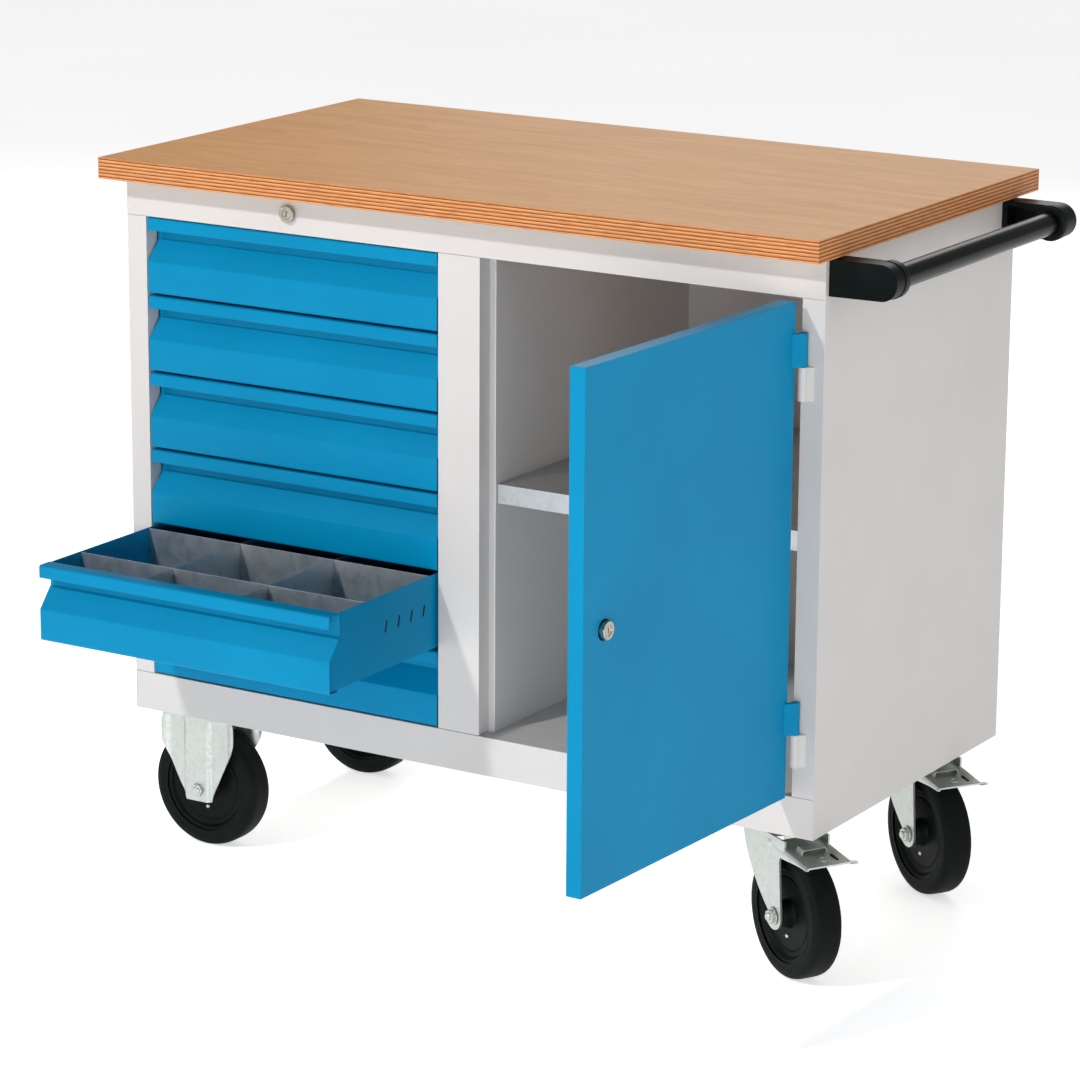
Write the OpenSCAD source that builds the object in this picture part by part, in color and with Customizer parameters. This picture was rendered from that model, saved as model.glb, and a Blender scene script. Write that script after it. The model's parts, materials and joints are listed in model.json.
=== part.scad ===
// Mobile workbench: a beech multiplex top on a folded steel cabinet with a drawer stack on the
// left, a cupboard with a hinged door on the right, a push handle and four castors.
// X runs to the right seen from the front, Y to the back, Z up; the floor is z = 0. The origin is
// on the floor, under the middle of the bench's outer box with the door and one drawer open.

/* [Worktop] */
// Width of the worktop, left to right
top_w = 1145; // [1000:5:1500]
// Depth of the worktop, front to back
top_d = 650; // [600:5:800]
// Thickness of the worktop
top_t = 30; // [20:1:50]

/* [Cabinet] */
// Height of the cabinet body, from its lower edge to the worktop
cab_h = 786; // [640:1:1000]
// Overhang of the worktop at the left and at the right
side_over = 13.5; // [5:0.5:30]
// Overhang of the worktop at the front and at the back
front_over = 47; // [20:1:80]
// Thickness of the cabinet's folded sheet
sheet_t = 1.5; // [1:0.1:2.5]
// Width of the left and the right front stile
stile_w = 33; // [28:1:50]
// Width of the centre front stile
mid_stile_w = 67; // [60:1:100]
// Height of the top and the bottom front rail
rail_h = 56; // [50:1:80]
// How far the stiles and rails are folded back behind the front
fold_d = 26; // [20:1:40]

/* [Drawers] */
// Number of drawers is six; this one, counted from the top, stands open at rest
open_drawer = 5; // [1:1:6]
// How far that drawer stands open at rest
drawer_open = 262; // [50:1:400]
// Gap around each drawer front
drawer_gap = 4; // [3:0.5:6]
// Length of a drawer tray behind its front
tray_len = 492; // [400:1:500]
// Thickness of the drawers' sheet
drawer_t = 1.2; // [0.8:0.1:2]
// Height of the flat lower band of a drawer front
band_h = 45; // [30:1:55]
// Depth of the finger recess in a drawer front
grip_d = 25; // [18:1:30]
// Height of the lip that hangs in front of the finger recess
lip_h = 18; // [12:1:24]

/* [Door] */
// Thickness of the folded door
door_t = 22; // [16:1:30]
// Gap around the door
door_gap = 2.5; // [2:0.5:5]
// Angle at which the door stands open at rest
door_angle = 87.5; // [0:0.5:120]
// Radius of the hinge knuckles
knuckle_r = 6; // [5:0.5:8]
// Radius of the hinge pins
hinge_pin_r = 3; // [2:0.5:4]
// Height of one hinge knuckle
knuckle_h = 45; // [30:1:60]

/* [Shelf] */
// Height of the shelf's upper face above the cabinet's lower edge
shelf_z = 411; // [300:1:450]
// Height of the shelf's folded front lip
shelf_lip = 27; // [20:1:40]

/* [Handle] */
// Distance from the cabinet's side to the handle tube's centre
handle_out = 74; // [60:1:110]
// Distance from the cabinet's upper edge down to the handle tube's centre
handle_drop = 27; // [26:1:60]
// Radius of the handle tube
handle_r = 16; // [12:0.5:17]
// Radius of the round boss that holds each end of the tube
boss_r = 24; // [22:0.5:30]
// Thickness of a handle bracket, along the tube
bracket_t = 32; // [24:1:40]

/* [Castors] */
// Height of a castor, from the floor to its top plate's upper face
castor_h = 214; // [205:1:260]
// Radius of the wheels
wheel_r = 90; // [80:1:92]
// Width of the tyres
tyre_w = 44; // [36:1:50]
// Radius of the wheel axles
axle_r = 6; // [5:0.5:8]
// Distance from the cabinet's left side to the fixed castors' middles
castor_in_left = 80; // [80:1:160]
// Distance from the cabinet's right side to the swivel castors' axes
castor_in_right = 92; // [80:1:160]
// Distance from the cabinet's front and back to the castors' middles
castor_in_y = 76; // [72:1:160]
// Trail of the swivel castors, from the swivel axis to the axle
trail = 50; // [40:1:54]
// Resting angle of the front swivel castor, clockwise from above
swivel_front = 31; // [0:1:60]
// Resting angle of the rear swivel castor, clockwise from above
swivel_rear = 34; // [0:1:60]

/* [Fits] */
// Radial clearance of every turning pin and axle in its bore
run_fit = 0.05; // [0.02:0.01:0.1]
// Clearance between a drawer's runner and its rail, all round
slide_gap = 0.6; // [0.4:0.1:1]

/* [Hidden] */
$fn = 64;
DRAWERS = 6;
CASTORS = ["front", "rear"];

grey = "#d6d5d3";
blue = "#1787ba";
zinc = "#b9beb9";
galvanised = "#9aa0a6";
black = "#16201c";

// cabinet outline in the bench's frame
cab_w = top_w - 2 * side_over;
cab_d = top_d - 2 * front_over;
door_open_w = (cab_w - 2 * stile_w - mid_stile_w) / 2;
drawer_open_w = door_open_w;
open_h = cab_h - 2 * rail_h;
handle_over = handle_out + boss_r - side_over;
cab_l = -(top_w + handle_over) / 2 + side_over;
cab_r = cab_l + cab_w;
door_w = door_open_w - 2 * door_gap;
door_h = open_h - 2 * door_gap;

// hinge axis, measured from the door opening's right front edge
pin_x = 6;
pin_y = -knuckle_r - 1;
door_reach = (pin_x + door_gap + door_w) * sin(door_angle) + pin_y * cos(door_angle) - pin_y;
cab_f = (door_reach - cab_d - front_over) / 2;
cab_b = cab_f + cab_d;
base_z = castor_h;
open_z = base_z + rail_h;
open_top = open_z + open_h;
cab_top = base_z + cab_h;

// the two openings in the front
drawer_l = cab_l + stile_w;
drawer_r = drawer_l + drawer_open_w;
door_l = drawer_r + mid_stile_w;
door_r = door_l + door_open_w;
hinge_x = door_r + pin_x;
hinge_y = cab_f + pin_y;

// the partition's two walls stand behind the centre stile
part_l = drawer_r + stile_w - sheet_t;
part_r = door_l + 10;
rear_fold = 18;
seam = 0.5;

// wood and machine screws
screw_r = 2.5;
screw_head_r = 6;
screw_head_h = 3;
screw_in = 16;
screw_from_end = 60;
screw_x = [cab_l + screw_from_end, (cab_l + cab_r) / 2, cab_r - screw_from_end];
screw_y = cab_f + fold_d / 2;

// shelf: it stands clear of the walls and rests on angle brackets
shelf_clear = 1;
shelf_return = 12;
shelf_front_gap = 4;
shelf_y = cab_f + fold_d + shelf_front_gap;
shelf_back = cab_b - 2 * sheet_t - 2;
shelf_bracket_in = 90;
shelf_bracket_w = 24;
shelf_bracket_out = 14;
shelf_bracket_t = 2;

// drawers: the tray's floor lies above the front's lower edge, with the runners under it
pitch = open_h / DRAWERS;
front_w = drawer_open_w - drawer_gap;
front_h = pitch - drawer_gap;
front_l = drawer_l + drawer_gap / 2;
front_r = front_l + front_w;
bevel_h = grip_d * 1.2;
tray_side_gap = 2;
tray_w = front_w - 2 * tray_side_gap;
tray_l = front_l + tray_side_gap;
tray_r = tray_l + tray_w;
floor_lift = 12;
cheek_lift = 1;
hem = 20;
tray_back = grip_d + tray_len - 30;
tray_h = front_h - floor_lift;
runner_w = 16;
runner_neck = 6;
runner_flange = 2.4;
runner_in = 22;
rail_wall = 1.2;
slide_top = 2 * slide_gap + rail_wall;
rail_drop = 0.2;
rail_first = fold_d + 6;
rail_len = cab_d - rail_first - 10;
runner_start = rail_first + 4;
divider_t = 0.8;
divider_h = tray_h - drawer_t - 1;
cross_at = [91, 250];

// door, its hinges and the cam locks
door_sheet = 1.2;
hinge_in = 44;
hinge_zs = [open_z + hinge_in, open_top - hinge_in - 2 * knuckle_h];
knuckle_gap = 0.4;
lock_r = 9.5;
lock_rim_r = 12;
lock_rim_h = 7;
lock_len = 24;
lock_from_edge = 47;
plug_r = 6.5;
cam_l = 30;
cam_w = 12;
cam_t = 2.5;
key_w = 1.5;
key_l = 8;
drawer_lock_at = [(drawer_l + drawer_r) / 2, cab_f, open_top + rail_h / 2];
door_lock_at = [door_l + door_gap + lock_from_edge, cab_f, open_z + open_h / 2];

// push handle
handle_x = cab_r + handle_out;
handle_z = cab_top - handle_drop;
bracket_in = 8;
bracket_h = 50;
bracket_wall = 4;
tube_wall = 2;
handle_screw_z = 12;
handle_screw_in = 7;
handle_screw_at = [for (y = [cab_f + bracket_in, cab_b - bracket_in - bracket_t],
    z = [-handle_screw_z, handle_screw_z]) [cab_r - sheet_t, y + bracket_t / 2, handle_z + z]];

// base channels
channel_w = 150;
channel_t = 2;

// castors
axle_z = wheel_r;
plate_t = 4;
plate_l = 138;
plate_w = 112;
bolt_x = 52;
bolt_y = 40;
bolt_r = 4;
bolt_head_r = 6.5;
bolt_head_h = 4;
bolt_nut_r = 7.5;
bolt_nut_h = 6.5;
fork_t = 3;
hub_w = tyre_w + 12;
fork_in = hub_w / 2 + 1;
rim_r = wheel_r - 22;
web_h = 14;
hub_r = axle_r + 10;
race_h = 6.5;
race_r = 38;
race_gap = 0.4;
crown_z = castor_h - plate_t - race_h - race_gap;
crown_t = 6;
king_r = 8;
pedal_pivot = trail - 14;
pedal_z = axle_z + wheel_r + 10;
pedal_pin_r = 3;
pedal_tilt = 7;
pedal_t = 2.5;
pedal_toe = 98;
pedal_heel = 22;
pedal_wall = 3;
pedal_in = fork_in + fork_t + 1;
left_x = cab_l + castor_in_left;
right_x = cab_r - castor_in_right;
castor_y = [cab_f + castor_in_y, cab_b - castor_in_y];
swivel_rest = [-swivel_front, -swivel_rear];

// a block between two corners
module block(low, high) {
    translate(low) cube(high - low);
}

// a folded strip of sheet: the line of points is its outer skin, the thickness t goes to its right
function bend_normal(p, i) =
    let (a = p[max(i - 1, 0)], b = p[i], c = p[min(i + 1, len(p) - 1)],
         u = i == 0 ? c - b : b - a, v = i == len(p) - 1 ? b - a : c - b,
         n1 = [u[1], -u[0]] / norm(u), n2 = [v[1], -v[0]] / norm(v))
    (n1 + n2) / (1 + n1 * n2);
function strip(p, t) =
    concat(p, [for (i = [len(p) - 1:-1:0]) p[i] + t * bend_normal(p, i)]);

// an outline in the YZ plane carried along X
module along_x(x0, x1) {
    translate([x0, 0, 0]) rotate([90, 0, 90]) linear_extrude(x1 - x0) children();
}
// an outline in the XZ plane carried along Y, from y0 to y1
module along_y(y0, y1) {
    translate([0, y1, 0]) rotate([90, 0, 0]) linear_extrude(y1 - y0) children();
}

module worktop() {
    color("#dfa977")
    difference() {
        block([cab_l - side_over, cab_f - front_over, cab_top],
            [cab_r + side_over, cab_b + front_over, cab_top + top_t]);
        for (x = screw_x) translate([x, screw_y, cab_top - 1])
            cylinder(r = screw_r, h = screw_in + 1);
    }
}

// skin with the front stile folded from it, seen from above: a C that opens inwards
module side_panel(side) {
    x = side < 0 ? cab_l : cab_r;
    color(grey)
    difference() {
        translate([x, 0, base_z]) mirror([side > 0 ? 1 : 0, 0, 0])
        linear_extrude(cab_h) polygon(strip([[stile_w, cab_f + fold_d], [stile_w, cab_f],
            [0, cab_f], [0, cab_b], [rear_fold, cab_b]], sheet_t));
        // the stile stops short of the rails, which run from skin to skin
        x_in = x - side * sheet_t;
        for (z = [[base_z - 1, open_z + seam], [open_top - seam, cab_top + 1]])
            block([min(x_in, x_in - side * stile_w), cab_f - 1, z[0]],
                [max(x_in, x_in - side * stile_w), cab_f + fold_d + 1, z[1]]);
        if (side > 0) handle_screw_holes();
    }
}
module back_panel() {
    color(grey)
    block([cab_l + sheet_t, cab_b - 2 * sheet_t, base_z],
        [cab_r - sheet_t, cab_b - sheet_t, cab_top]);
}
module floor_panel() {
    color(grey)
    block([cab_l + sheet_t, cab_f + fold_d, open_z - sheet_t],
        [cab_r - sheet_t, cab_b - 2 * sheet_t, open_z]);
}

// a rail is a C folded back at its upper and lower edge
module rail(z) {
    along_x(cab_l + sheet_t, cab_r - sheet_t)
        polygon(strip([[cab_f + fold_d, z], [cab_f, z], [cab_f, z + rail_h],
            [cab_f + fold_d, z + rail_h]], sheet_t));
}
module top_rail() {
    color(grey)
    difference() {
        rail(open_top);
        lock_hole(drawer_lock_at);
        for (x = screw_x) translate([x, screw_y, cab_top - 5]) cylinder(r = screw_r, h = 10);
    }
}
module bottom_rail() {
    color(grey) rail(base_z);
}
module centre_stile() {
    color(grey)
    translate([0, 0, open_z + seam]) linear_extrude(open_h - 2 * seam)
        polygon(strip([[door_l, cab_f + fold_d], [door_l, cab_f], [drawer_r, cab_f],
            [drawer_r, cab_f + fold_d]], sheet_t));
}

// the drawers' wall of the partition, folded over at its front edge
module partition_drawer_side() {
    color(grey)
    translate([0, 0, open_z]) linear_extrude(cab_top - open_z)
        polygon(strip([[door_l - 8, cab_f + fold_d], [part_l, cab_f + fold_d],
            [part_l, cab_b - 2 * sheet_t]], sheet_t));
}
module partition_door_side() {
    color(grey)
    translate([0, 0, open_z]) linear_extrude(cab_top - open_z)
        polygon(strip([[door_l - 6, cab_f + fold_d + sheet_t],
            [part_r - sheet_t, cab_f + fold_d + sheet_t],
            [part_r - sheet_t, cab_b - 2 * sheet_t]], sheet_t));
}

module shelf() {
    z = base_z + shelf_z;
    color(galvanised)
    along_x(part_r + shelf_clear, cab_r - sheet_t - shelf_clear)
        polygon(strip([[shelf_y + shelf_return, z - shelf_lip], [shelf_y, z - shelf_lip],
            [shelf_y, z], [shelf_back, z], [shelf_back, z - shelf_lip]], sheet_t));
}
module shelf_brackets() {
    z = base_z + shelf_z - sheet_t;
    t = shelf_bracket_t;
    out = shelf_bracket_out;
    color(zinc)
    for (y = [cab_f + shelf_bracket_in, cab_b - shelf_bracket_in], s = [-1, 1]) {
        x = s < 0 ? part_r : cab_r - sheet_t;
        translate([x, y - shelf_bracket_w / 2, z]) mirror([s > 0 ? 1 : 0, 0, 0])
        rotate([-90, 0, 0]) linear_extrude(shelf_bracket_w)
            polygon([[0, 0], [out, 0], [out, t], [t, t], [t, out + t], [0, out + t]]);
    }
}

// one drawer rail: an angle on the wall whose free edge is a C that opens upwards
module drawer_rail() {
    mid = stile_w - sheet_t + tray_l - drawer_l + runner_in;
    half = runner_w / 2 + slide_gap + rail_wall;
    slot = runner_neck / 2 + slide_gap;
    top = -slide_gap;
    low = -floor_lift - rail_drop - rail_wall;
    polygon([[0, low], [mid + half, low], [mid + half, top], [mid + slot, top],
        [mid + slot, top - rail_wall], [mid + half - rail_wall, top - rail_wall],
        [mid + half - rail_wall, low + rail_wall], [mid - half + rail_wall, low + rail_wall],
        [mid - half + rail_wall, top - rail_wall], [mid - slot, top - rail_wall],
        [mid - slot, top], [mid - half, top], [mid - half, low + rail_wall],
        [rail_wall, low + rail_wall], [rail_wall, top], [0, top]]);
}
function drawer_z(i) = open_z + (DRAWERS - i) * pitch + drawer_gap / 2;
function drawer_y(i) = cab_f - (i == open_drawer ? drawer_open : 0);
module drawer_rails() {
    color(zinc)
    for (i = [1:DRAWERS], side = [-1, 1])
        translate([side < 0 ? cab_l + sheet_t : part_l, 0, drawer_z(i) + floor_lift])
            mirror([side > 0 ? 1 : 0, 0, 0])
                along_y(cab_f + rail_first, cab_f + rail_first + rail_len) drawer_rail();
}

// folded front: lip, finger recess, bevel and flat band in one strip
module drawer_front(i) {
    t = drawer_t;
    color(blue)
    translate([0, drawer_y(i), drawer_z(i)]) along_x(front_l, front_r)
        polygon(strip([[0, front_h - lip_h], [0, front_h], [grip_d + t, front_h],
            [grip_d + t, band_h + bevel_h], [t, band_h], [t, t], [hem, t]], t));
}

// tray: floor, two cheeks cut to the front's profile, a back and a runner under each side
module drawer_tray(i) {
    t = drawer_t;
    back = tray_back;
    fz = floor_lift;
    color(blue)
    translate([0, drawer_y(i), drawer_z(i)]) {
        for (x = [tray_l, tray_r - t]) along_x(x, x + t)
            polygon([[hem, cheek_lift + t], [hem, t], [t, t], [t, band_h],
                [grip_d + t, band_h + bevel_h], [grip_d + t, front_h], [back, front_h],
                [back, cheek_lift + t]]);
        block([tray_l, grip_d, fz], [tray_r, back, fz + t]);
        block([tray_l, back - t, fz], [tray_r, back, front_h]);
        for (x = [tray_l + runner_in, tray_r - runner_in])
            translate([x, 0, fz]) along_y(runner_start, back)
                polygon([[-runner_neck / 2, 0], [-runner_neck / 2, -slide_top],
                    [-runner_w / 2, -slide_top], [-runner_w / 2, -slide_top - runner_flange],
                    [runner_w / 2, -slide_top - runner_flange], [runner_w / 2, -slide_top],
                    [runner_neck / 2, -slide_top], [runner_neck / 2, 0]]);
    }
}

module in_open_drawer() {
    translate([0, drawer_y(open_drawer), drawer_z(open_drawer) + floor_lift + drawer_t]) children();
}
// long and cross dividers are slotted half-way, so that they sit in each other
module drawer_dividers_long() {
    back = tray_back - drawer_t;
    color(galvanised)
    in_open_drawer() for (k = [1, 2]) {
        x = tray_l + k * tray_w / 3;
        difference() {
            block([x - divider_t / 2, grip_d + drawer_t, 0], [x + divider_t / 2, back, divider_h]);
            for (c = cross_at)
                block([x - 1, c - divider_t, divider_h / 2], [x + 1, c + divider_t, divider_h + 1]);
        }
    }
}
module drawer_dividers_cross() {
    color(galvanised)
    in_open_drawer() for (c = cross_at) difference() {
        block([tray_l + drawer_t, c - divider_t / 2, 0],
            [tray_r - drawer_t, c + divider_t / 2, divider_h]);
        for (k = [1, 2]) {
            x = tray_l + k * tray_w / 3;
            block([x - divider_t, c - 1, -1], [x + divider_t, c + 1, divider_h / 2]);
        }
    }
}

// everything on the door is drawn closed and then swung open about the hinge pins
module swing() {
    translate([hinge_x, hinge_y, 0]) rotate([0, 0, door_angle])
        translate([-hinge_x, -hinge_y, 0]) children();
}
module door_panel() {
    x0 = door_l + door_gap;
    x1 = door_r - door_gap;
    z0 = open_z + door_gap;
    color(blue)
    swing() difference() {
        block([x0, cab_f, z0], [x1, cab_f + door_t, z0 + door_h]);
        block([x0 + door_sheet, cab_f + door_sheet, z0 + door_sheet],
            [x1 - door_sheet, cab_f + door_t - door_sheet, z0 + door_h - door_sheet]);
        lock_hole(door_lock_at);
        translate(door_lock_at) rotate([-90, 0, 0]) cylinder(r = lock_r + 4, h = door_t + 5);
    }
}

// pairs of knuckles: the door's one hangs on the frame's one
module frame_hinge_knuckles() {
    color(grey)
    for (z = hinge_zs) {
        translate([hinge_x, hinge_y, z]) cylinder(r = knuckle_r, h = knuckle_h);
        translate([hinge_x, hinge_y, z + knuckle_h / 2])
            cylinder(r = hinge_pin_r, h = knuckle_h * 1.3);
        translate([0, 0, z]) linear_extrude(knuckle_h)
            polygon([[hinge_x - 2, hinge_y + 2], [hinge_x + 5, hinge_y],
                [hinge_x + 14, cab_f], [hinge_x - 2, cab_f]]);
    }
}
module door_hinge_knuckles() {
    color(blue)
    swing() for (z = hinge_zs) translate([0, 0, z + knuckle_h + knuckle_gap])
        difference() {
            union() {
                translate([hinge_x, hinge_y, 0])
                    cylinder(r = knuckle_r, h = knuckle_h - knuckle_gap);
                linear_extrude(knuckle_h - knuckle_gap)
                    polygon([[hinge_x, hinge_y + 5], [hinge_x - 3, hinge_y - 4],
                        [door_r - door_gap - 9, cab_f], [door_r - door_gap, cab_f]]);
            }
            translate([hinge_x, hinge_y, -1])
                cylinder(r = hinge_pin_r + run_fit, h = knuckle_h - 5);
        }
}

// cam locks: a body through the sheet and a plug with a cam that turns in it
module lock_hole(at) {
    translate(at) rotate([-90, 0, 0]) translate([0, 0, -5]) cylinder(r = lock_r, h = 12);
}
module lock_body(at) {
    translate(at) rotate([-90, 0, 0]) difference() {
        union() {
            translate([0, 0, -lock_rim_h]) cylinder(r = lock_rim_r, h = lock_rim_h);
            cylinder(r = lock_r, h = lock_len);
        }
        translate([0, 0, -lock_rim_h - 1])
            cylinder(r = plug_r + run_fit, h = lock_len + lock_rim_h + 2);
    }
}
module lock_plug(at) {
    translate(at) rotate([-90, 0, 0]) difference() {
        union() {
            translate([0, 0, -lock_rim_h + 1]) cylinder(r = plug_r, h = lock_len + lock_rim_h);
            translate([-cam_w / 2, -cam_w / 2, lock_len + 1]) cube([cam_w, cam_l, cam_t]);
        }
        translate([-key_w / 2, -key_l / 2, -lock_rim_h]) cube([key_w, key_l, key_l]);
    }
}
module drawer_lock_body() {
    color(zinc) lock_body(drawer_lock_at);
}
module drawer_lock_plug() {
    color(zinc) lock_plug(drawer_lock_at);
}
module door_lock_body() {
    color(zinc) swing() lock_body(door_lock_at);
}
module door_lock_plug() {
    color(zinc) swing() lock_plug(door_lock_at);
}

// push handle
module handle_screw_holes() {
    for (p = handle_screw_at) translate(p) rotate([0, 90, 0]) translate([0, 0, -1])
        cylinder(r = screw_r, h = 12);
}
module handle_bracket(y0, inner) {
    color(black)
    difference() {
        along_y(y0, y0 + bracket_t) union() {
            polygon([[cab_r, handle_z - bracket_h / 2], [handle_x, handle_z - boss_r],
                [handle_x, handle_z + boss_r], [cab_r, handle_z + bracket_h / 2 - 1]]);
            translate([handle_x, handle_z]) circle(boss_r);
        }
        // socket for the tube
        translate([handle_x, inner > 0 ? y0 + bracket_wall : y0 - 1, handle_z]) rotate([-90, 0, 0])
            cylinder(r = handle_r, h = bracket_t - bracket_wall + 1);
        // hollow of the moulding, open towards the tube
        along_y(inner > 0 ? y0 + bracket_wall : y0 - 1,
            inner > 0 ? y0 + bracket_t + 1 : y0 + bracket_t - bracket_wall)
            polygon([[cab_r + 8, handle_z - 18], [handle_x - handle_r - 8, handle_z - 14],
                [handle_x - handle_r - 8, handle_z + 14], [cab_r + 8, handle_z + 18]]);
        handle_screw_holes();
    }
}
module handle_bracket_front() {
    handle_bracket(cab_f + bracket_in, 1);
}
module handle_bracket_rear() {
    handle_bracket(cab_b - bracket_in - bracket_t, -1);
}
module handle_tube() {
    color(black)
    translate([handle_x, cab_f + bracket_in + bracket_wall, handle_z]) rotate([-90, 0, 0])
    difference() {
        cylinder(r = handle_r, h = cab_d - 2 * bracket_in - 2 * bracket_wall);
        translate([0, 0, -1]) cylinder(r = handle_r - tube_wall,
            h = cab_d - 2 * bracket_in - 2 * bracket_wall + 2);
    }
}

// base channels: one along each side, from the castors up to the floor
module base_channels() {
    color(grey)
    for (x = [left_x, right_x]) difference() {
        along_y(cab_f + fold_d + 1, cab_b - 2 * sheet_t - 1)
            polygon(strip([[x + channel_w / 2, open_z - sheet_t], [x + channel_w / 2, base_z],
                [x - channel_w / 2, base_z], [x - channel_w / 2, open_z - sheet_t]], channel_t));
        for (y = castor_y, sx = [-1, 1], sy = [-1, 1])
            translate([x + sx * bolt_x, y + sy * bolt_y, base_z - 1])
                cylinder(r = bolt_r, h = channel_t + 2);
    }
}
module castor_bolts() {
    color(zinc)
    for (x = [left_x, right_x], y = castor_y, sx = [-1, 1], sy = [-1, 1])
        translate([x + sx * bolt_x, y + sy * bolt_y, base_z]) {
            translate([0, 0, -plate_t - bolt_head_h]) cylinder(r = bolt_head_r, h = bolt_head_h);
            translate([0, 0, -plate_t]) cylinder(r = bolt_r, h = plate_t + channel_t);
            translate([0, 0, channel_t]) cylinder(r = bolt_nut_r, h = bolt_nut_h, $fn = 6);
        }
}
module worktop_screws() {
    color(zinc)
    for (x = screw_x) translate([x, screw_y, cab_top - sheet_t]) {
        translate([0, 0, -screw_head_h]) cylinder(r = screw_head_r, h = screw_head_h);
        cylinder(r = screw_r, h = sheet_t + screw_in - 1);
    }
}
module handle_screws() {
    color(zinc)
    for (p = handle_screw_at) translate(p) rotate([0, 90, 0]) {
        translate([0, 0, -screw_head_h]) cylinder(r = screw_head_r - 1, h = screw_head_h);
        cylinder(r = screw_r, h = sheet_t + handle_screw_in);
    }
}

// fixed castors
function leg_outline(w_top, w_low, z_top, z_low) =
    [[-w_top / 2, z_top], [-w_top / 2, z_top - 28], [-w_low / 2, z_low], [w_low / 2, z_low],
     [w_top / 2, z_top - 28], [w_top / 2, z_top]];
module fixed_castor(k) {
    z_top = castor_h - plate_t;
    color(zinc)
    translate([left_x, castor_y[k], 0]) difference() {
        union() {
            translate([-plate_l / 2, -plate_w / 2, z_top]) cube([plate_l, plate_w, plate_t]);
            for (s = [-1, 1]) {
                y = s < 0 ? -fork_in - fork_t : fork_in;
                along_y(y, y + fork_t) polygon(leg_outline(130, 46, z_top, axle_z - 16));
                // stamped rib
                along_y(s < 0 ? y - 3 : y, s < 0 ? y + fork_t : y + fork_t + 3)
                    polygon([[-30, z_top], [-16, axle_z + 22], [16, axle_z + 22], [30, z_top]]);
            }
        }
        translate([0, 0, axle_z]) rotate([-90, 0, 0]) cylinder(r = axle_r, h = 200, center = true);
        for (sx = [-1, 1], sy = [-1, 1])
            translate([sx * bolt_x, sy * bolt_y, z_top - 1])
                cylinder(r = bolt_r, h = plate_t + 2);
    }
}

// an axle bolt with its head and nut outside the fork
module axle_bolt() {
    out = fork_in + fork_t;
    translate([0, 0, axle_z]) rotate([90, 0, 0]) {
        cylinder(r = axle_r, h = 2 * out + 14, center = true);
        for (s = [0, 1]) mirror([0, 0, s]) translate([0, 0, out]) {
            cylinder(r = 11, h = 1.5);
            cylinder(r = 10, h = 9, $fn = 6);
        }
    }
}
module fixed_castor_axles() {
    color(zinc) for (y = castor_y) translate([left_x, y, 0]) axle_bolt();
}

// a wheel: rubber tyre on a rim with a disc, bored for the axle
module turned() {
    translate([0, 0, axle_z]) rotate([90, 0, 0]) rotate_extrude($fn = 128) children();
}
module tyre() {
    r = wheel_r;
    h = tyre_w / 2;
    turned() polygon([[rim_r, -h], [r - 9, -h], [r - 4, -h + 2], [r - 1, -h + 7], [r, -h + 13],
        [r, h - 13], [r - 1, h - 7], [r - 4, h - 2], [r - 9, h], [rim_r, h]]);
}
module rim() {
    h = tyre_w / 2;
    half = [[axle_r + run_fit, hub_w / 2], [hub_r, hub_w / 2], [hub_r + 5, web_h],
        [rim_r - 8, web_h], [rim_r - 4, h - 4], [rim_r, h - 2]];
    turned() polygon(concat(half, [for (i = [len(half) - 1:-1:0]) [half[i][0], -half[i][1]]]));
}
module at_wheel(side, k) {
    if (side == "left") translate([left_x, castor_y[k], 0]) children();
    else at_swivel(k) translate([trail, 0, 0]) children();
}

module wheel_tyre(side, k) {
    color(black) at_wheel(side, k) tyre();
}
module wheel_rim(side, k) {
    color(black) at_wheel(side, k) rim();
}

// swivel castors: a fixed plate with the ball race and kingpin, and a fork that turns under it
module swivel_plate(k) {
    z = castor_h - plate_t;
    color(zinc)
    translate([right_x, castor_y[k], 0]) {
        difference() {
            union() {
                translate([-plate_l / 2, -plate_w / 2, z]) cube([plate_l, plate_w, plate_t]);
                translate([0, 0, z - race_h]) cylinder(r = race_r, h = race_h);
            }
            for (sx = [-1, 1], sy = [-1, 1])
                translate([sx * bolt_x, sy * bolt_y, z - 1])
                    cylinder(r = bolt_r, h = plate_t + 2);
        }
        translate([0, 0, crown_z - crown_t - 8]) cylinder(r = king_r, h = 20);
        translate([0, 0, crown_z - crown_t - 8]) cylinder(r = 12, h = 7.6, $fn = 6);
    }
}
module at_swivel(k) {
    translate([right_x, castor_y[k], 0]) rotate([0, 0, swivel_rest[k]]) children();
}
module swivel_fork(k) {
    color(zinc)
    at_swivel(k) difference() {
        union() {
            translate([-36, -fork_in - fork_t, crown_z - crown_t])
                cube([36 + pedal_pivot - 12, 2 * (fork_in + fork_t), crown_t]);
            for (y = [-fork_in - fork_t, fork_in]) {
                along_y(y, y + fork_t) union() {
                    polygon([[-36, crown_z], [-40, crown_z - 20], [-24, crown_z - 62],
                        [trail - 17, axle_z - 12], [trail + 17, axle_z - 8],
                        [trail + 8, pedal_z - 16], [trail - 2, crown_z]]);
                    translate([trail, axle_z]) circle(20);
                }
            }
        }
        translate([0, 0, crown_z - crown_t - 1]) cylinder(r = king_r + run_fit, h = crown_t + 2);
        translate([trail, 0, axle_z]) rotate([90, 0, 0])
            cylinder(r = axle_r, h = 200, center = true);
        translate([pedal_pivot, 0, pedal_z]) rotate([90, 0, 0])
            cylinder(r = pedal_pin_r + run_fit, h = 200, center = true);
    }
}
module swivel_axle(k) {
    color(zinc) at_swivel(k) translate([trail, 0, 0]) axle_bolt();
}
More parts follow.
